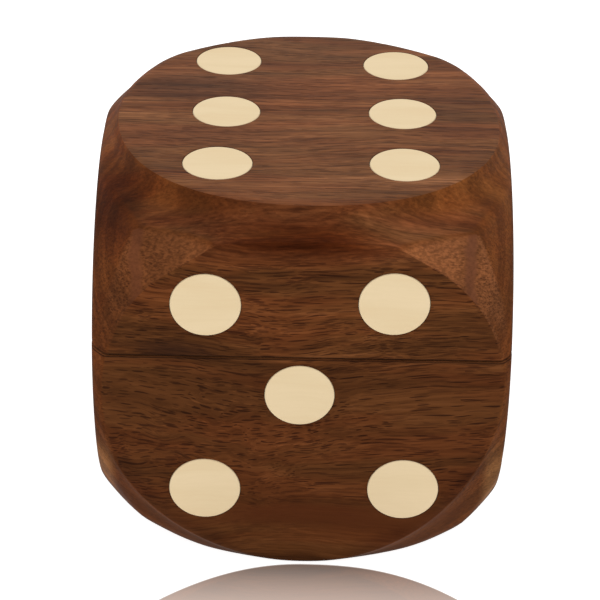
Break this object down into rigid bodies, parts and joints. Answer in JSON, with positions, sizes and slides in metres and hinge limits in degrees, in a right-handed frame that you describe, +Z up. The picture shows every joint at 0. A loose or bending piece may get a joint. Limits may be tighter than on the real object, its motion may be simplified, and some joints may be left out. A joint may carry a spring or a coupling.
{
  "type": "dice box",
  "caption": "Die-shaped hardwood box with a bevel round every face, light inlaid pips and a lid that swings back on brass hinges over a square hollow.",
  "frame": {"origin": "centre of the bottom face that the closed box stands on", "axes": "+Z up through the 6 on the lid, -Y out of the face with five pips, +Y back to the hinges, +X to the face with three pips"},
  "size_m": [0.0762, 0.0762, 0.0751],
  "materials": {
    "dark_wood": "satin lacquer over dark brown open-pored hardwood",
    "pip_wood": "smooth pale fine-grained wood, flush with the face",
    "brass": "brushed, slightly tarnished",
    "magnet": "bright nickel plate"
  },
  "bodies": {
    "base": {"base_body": "dark_wood", "pip_front_3": "pip_wood", "pip_front_4": "pip_wood", "pip_front_5": "pip_wood", "pip_bottom_1": "pip_wood", "pip_back_2": "pip_wood", "pip_left_3": "pip_wood", "pip_left_4": "pip_wood", "pip_right_2": "pip_wood", "pip_right_3": "pip_wood", "left_hinge_base_leaf": "brass", "left_hinge_pin": "brass", "left_hinge_base_screws": "brass", "right_hinge_base_leaf": "brass", "right_hinge_pin": "brass", "right_hinge_base_screws": "brass", "base_magnets": "magnet"},
    "lid": {"lid_body": "dark_wood", "pip_top_1": "pip_wood", "pip_top_2": "pip_wood", "pip_top_3": "pip_wood", "pip_top_4": "pip_wood", "pip_top_5": "pip_wood", "pip_top_6": "pip_wood", "pip_front_1": "pip_wood", "pip_front_2": "pip_wood", "pip_back_1": "pip_wood", "pip_left_1": "pip_wood", "pip_left_2": "pip_wood", "pip_right_1": "pip_wood", "left_hinge_lid_leaf": "brass", "left_hinge_lid_screws": "brass", "right_hinge_lid_leaf": "brass", "right_hinge_lid_screws": "brass", "lid_magnets": "magnet"}
  },
  "joints": [
    {"name": "lid_hinge", "type": "hinge", "parent": "base", "child": "lid", "pos_m": [0, 0.0363, 0.0464], "axis": [-1, 0, 0], "range_deg": [0, 100]}
  ]
}
